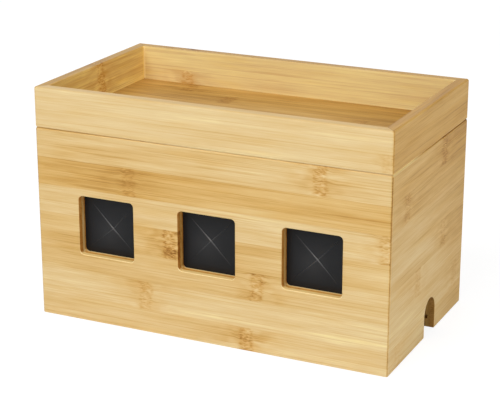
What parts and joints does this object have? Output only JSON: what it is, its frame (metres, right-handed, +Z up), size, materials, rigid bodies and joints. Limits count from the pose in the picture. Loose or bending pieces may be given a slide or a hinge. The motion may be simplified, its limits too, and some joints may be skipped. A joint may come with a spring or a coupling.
{
  "type": "cable management box",
  "caption": "Bamboo cable management box with slit rubber cable windows in front, arched cable notches in the sides and a lift-off tray lid.",
  "frame": {"origin": "centre of the footprint, on the surface that the box stands on", "axes": "+X to the right seen from the front, +Y to the back, +Z up"},
  "size_m": [0.3, 0.17, 0.19],
  "materials": {
    "bamboo_board": "laminated bamboo, clear satin lacquer, grain along each board",
    "bamboo_rail": "pale laminated bamboo, clear satin lacquer, grain along each rail",
    "bamboo_thin_panel": "thin bamboo panel, clear satin lacquer, grain along the box",
    "bamboo_batten": "sawn bamboo strip, unlacquered",
    "black_rubber": "matt black sheet rubber"
  },
  "bodies": {
    "body": {"front_panel": "bamboo_board", "back_panel": "bamboo_board", "left_side_panel": "bamboo_board", "right_side_panel": "bamboo_board", "base_panel": "bamboo_thin_panel", "left_sheet": "black_rubber", "middle_sheet": "black_rubber", "right_sheet": "black_rubber"},
    "lid": {"lid_front_rail": "bamboo_rail", "lid_back_rail": "bamboo_rail", "lid_left_rail": "bamboo_rail", "lid_right_rail": "bamboo_rail", "tray_floor": "bamboo_thin_panel", "front_batten": "bamboo_batten", "back_batten": "bamboo_batten", "left_batten": "bamboo_batten", "right_batten": "bamboo_batten"},
    "left_sheet_lower_flap": {"left_sheet_lower_flap": "black_rubber"},
    "left_sheet_right_flap": {"left_sheet_right_flap": "black_rubber"},
    "left_sheet_upper_flap": {"left_sheet_upper_flap": "black_rubber"},
    "left_sheet_left_flap": {"left_sheet_left_flap": "black_rubber"},
    "middle_sheet_lower_flap": {"middle_sheet_lower_flap": "black_rubber"},
    "middle_sheet_right_flap": {"middle_sheet_right_flap": "black_rubber"},
    "middle_sheet_upper_flap": {"middle_sheet_upper_flap": "black_rubber"},
    "middle_sheet_left_flap": {"middle_sheet_left_flap": "black_rubber"},
    "right_sheet_lower_flap": {"right_sheet_lower_flap": "black_rubber"},
    "right_sheet_right_flap": {"right_sheet_right_flap": "black_rubber"},
    "right_sheet_upper_flap": {"right_sheet_upper_flap": "black_rubber"},
    "right_sheet_left_flap": {"right_sheet_left_flap": "black_rubber"}
  },
  "joints": [
    {"name": "lid_lift", "type": "slide", "parent": "body", "child": "lid", "axis": [0, 0, 1], "range_m": [0, 0.18]},
    {"name": "left_sheet_lower_flap_fold", "type": "hinge", "parent": "body", "child": "left_sheet_lower_flap", "pos_m": [-0.088, -0.0754, 0.063], "axis": [-1, 0, 0], "range_deg": [-50, 75], "stiffness_Nm_per_rad": 0.002},
    {"name": "left_sheet_right_flap_fold", "type": "hinge", "parent": "body", "child": "left_sheet_right_flap", "pos_m": [-0.07, -0.0754, 0.081], "axis": [0, 0, -1], "range_deg": [-50, 75], "stiffness_Nm_per_rad": 0.002},
    {"name": "left_sheet_upper_flap_fold", "type": "hinge", "parent": "body", "child": "left_sheet_upper_flap", "pos_m": [-0.088, -0.0754, 0.099], "axis": [1, 0, 0], "range_deg": [-50, 75], "stiffness_Nm_per_rad": 0.002},
    {"name": "left_sheet_left_flap_fold", "type": "hinge", "parent": "body", "child": "left_sheet_left_flap", "pos_m": [-0.106, -0.0754, 0.081], "axis": [0, 0, 1], "range_deg": [-50, 75], "stiffness_Nm_per_rad": 0.002},
    {"name": "middle_sheet_lower_flap_fold", "type": "hinge", "parent": "body", "child": "middle_sheet_lower_flap", "pos_m": [0, -0.0754, 0.063], "axis": [-1, 0, 0], "range_deg": [-50, 75], "stiffness_Nm_per_rad": 0.002},
    {"name": "middle_sheet_right_flap_fold", "type": "hinge", "parent": "body", "child": "middle_sheet_right_flap", "pos_m": [0.018, -0.0754, 0.081], "axis": [0, 0, -1], "range_deg": [-50, 75], "stiffness_Nm_per_rad": 0.002},
    {"name": "middle_sheet_upper_flap_fold", "type": "hinge", "parent": "body", "child": "middle_sheet_upper_flap", "pos_m": [0, -0.0754, 0.099], "axis": [1, 0, 0], "range_deg": [-50, 75], "stiffness_Nm_per_rad": 0.002},
    {"name": "middle_sheet_left_flap_fold", "type": "hinge", "parent": "body", "child": "middle_sheet_left_flap", "pos_m": [-0.018, -0.0754, 0.081], "axis": [0, 0, 1], "range_deg": [-50, 75], "stiffness_Nm_per_rad": 0.002},
    {"name": "right_sheet_lower_flap_fold", "type": "hinge", "parent": "body", "child": "right_sheet_lower_flap", "pos_m": [0.088, -0.0754, 0.063], "axis": [-1, 0, 0], "range_deg": [-50, 75], "stiffness_Nm_per_rad": 0.002},
    {"name": "right_sheet_right_flap_fold", "type": "hinge", "parent": "body", "child": "right_sheet_right_flap", "pos_m": [0.106, -0.0754, 0.081], "axis": [0, 0, -1], "range_deg": [-50, 75], "stiffness_Nm_per_rad": 0.002},
    {"name": "right_sheet_upper_flap_fold", "type": "hinge", "parent": "body", "child": "right_sheet_upper_flap", "pos_m": [0.088, -0.0754, 0.099], "axis": [1, 0, 0], "range_deg": [-50, 75], "stiffness_Nm_per_rad": 0.002},
    {"name": "right_sheet_left_flap_fold", "type": "hinge", "parent": "body", "child": "right_sheet_left_flap", "pos_m": [0.07, -0.0754, 0.081], "axis": [0, 0, 1], "range_deg": [-50, 75], "stiffness_Nm_per_rad": 0.002}
  ]
}
